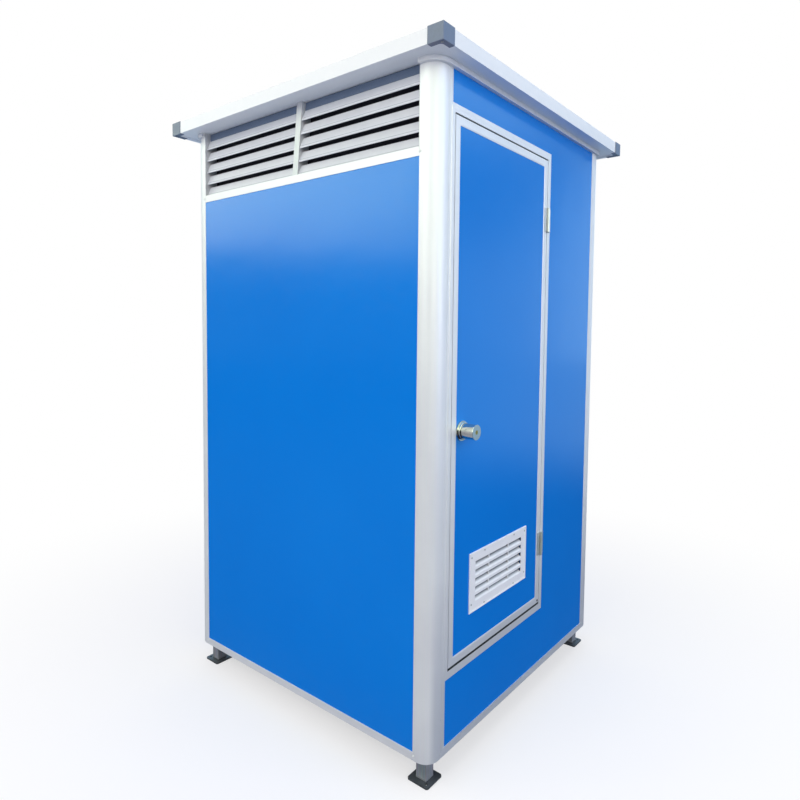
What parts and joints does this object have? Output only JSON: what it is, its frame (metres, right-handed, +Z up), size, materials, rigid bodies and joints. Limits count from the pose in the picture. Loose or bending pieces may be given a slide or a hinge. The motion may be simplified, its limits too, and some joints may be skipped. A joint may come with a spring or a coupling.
{
  "type": "portable toilet cabin",
  "caption": "Square portable toilet cabin in blue panels and aluminium posts, with a vented outward opening door, side louvers, a flat roof and short legs.",
  "frame": {"origin": "on the ground, under the middle of the roof", "axes": "+Z up, door towards -Y, louvers in the walls at -X and +X"},
  "size_m": [1.384, 1.384, 2.302],
  "materials": {
    "alu_profile": "satin anodised extrusion",
    "blue_skin": "glossy blue coated skin",
    "louver_white": "satin light grey coat",
    "roof_white": "satin white coat",
    "cap_grey": "moulded slate grey plastic",
    "dark_steel": "dark paint on steel tube",
    "floor_board": "textured anti-slip sheet",
    "stainless": "brushed stainless steel",
    "zinc_steel": "zinc plated steel",
    "brass": "turned brass",
    "grille_white": "moulded white plastic",
    "ceramic_white": "glazed white ceramic",
    "white_plastic": "moulded white plastic",
    "diffuser": "opal lamp cover",
    "pipe_grey": "extruded grey plastic pipe",
    "chrome": "plated push button"
  },
  "bodies": {
    "cabin": {"legs": "dark_steel", "base_beams": "dark_steel", "floor_frame": "dark_steel", "floor_panel": "floor_board", "bottom_rails": "alu_profile", "post_front_left": "alu_profile", "post_front_right": "alu_profile", "post_back_left": "alu_profile", "post_back_right": "alu_profile", "panel_left": "blue_skin", "panel_right": "blue_skin", "panel_back": "blue_skin", "panel_front_lower": "blue_skin", "panel_front_header": "blue_skin", "panel_front_side": "blue_skin", "mid_rails": "alu_profile", "louver_blades_left": "louver_white", "louver_blades_right": "louver_white", "louver_frames": "alu_profile", "louver_mullions": "alu_profile", "top_rail_front": "alu_profile", "top_rail_back": "alu_profile", "front_edge_channels": "alu_profile", "door_jamb_latch": "alu_profile", "door_jamb_hinge": "alu_profile", "door_head": "alu_profile", "door_sill": "alu_profile", "door_stops": "alu_profile", "strike_plate": "stainless", "hinge_frame_leaves": "stainless", "hinge_pins": "stainless", "roof_panel": "roof_white", "roof_edge_front": "roof_white", "roof_edge_back": "roof_white", "roof_edge_left": "roof_white", "roof_edge_right": "roof_white", "roof_corner_caps": "cap_grey", "squat_pan": "ceramic_white", "cistern": "white_plastic", "flush_pipe": "white_plastic", "soil_pipe": "pipe_grey", "ceiling_lamp": "diffuser", "switch_plate": "white_plastic"},
    "door": {"door_stile_latch": "alu_profile", "door_stile_hinge": "alu_profile", "door_rail_top": "alu_profile", "door_rail_bottom": "alu_profile", "door_panel": "blue_skin", "vent_grilles": "grille_white", "hinge_door_leaves": "stainless", "lock_roses": "stainless", "latch_case": "zinc_steel"},
    "knobs": {"knobs": "stainless"},
    "latch": {"latch_bolt": "zinc_steel"},
    "key_cylinder": {"key_plug": "brass"},
    "privacy_turn": {"turn_button": "stainless"},
    "flush": {"flush_button": "chrome"},
    "rocker": {"switch_rocker": "white_plastic"}
  },
  "joints": [
    {"name": "door_swing", "type": "hinge", "parent": "cabin", "child": "door", "pos_m": [0.10325, -0.633, 1.23875], "axis": [0, 0, 1], "range_deg": [0, 170]},
    {"name": "knob_turn", "type": "hinge", "parent": "door", "child": "knobs", "pos_m": [-0.4695, -0.625, 1.131], "axis": [0, 1, 0], "range_deg": [-60, 0]},
    {"name": "latch_slide", "type": "slide", "parent": "door", "child": "latch", "axis": [-1, 0, 0], "range_m": [0, 0.01]},
    {"name": "key_turn", "type": "hinge", "parent": "knobs", "child": "key_cylinder", "pos_m": [-0.4695, -0.625, 1.131], "axis": [0, 1, 0], "range_deg": [0, 90]},
    {"name": "privacy_turn_turn", "type": "hinge", "parent": "knobs", "child": "privacy_turn", "pos_m": [-0.4695, -0.625, 1.131], "axis": [0, 1, 0], "range_deg": [0, 90]},
    {"name": "flush_press", "type": "slide", "parent": "cabin", "child": "flush", "axis": [0, 0, -1], "range_m": [0, 0.005], "stiffness_N_per_m": 300, "springref_m": -0.003},
    {"name": "switch_rock", "type": "hinge", "parent": "cabin", "child": "rocker", "pos_m": [-0.568, -0.405, 1.25], "axis": [0, 1, 0], "range_deg": [0, 8]}
  ],
  "couplings": [
    {"joint": "latch_slide", "follows": "knob_turn", "m_per_rad": -0.00954}
  ]
}
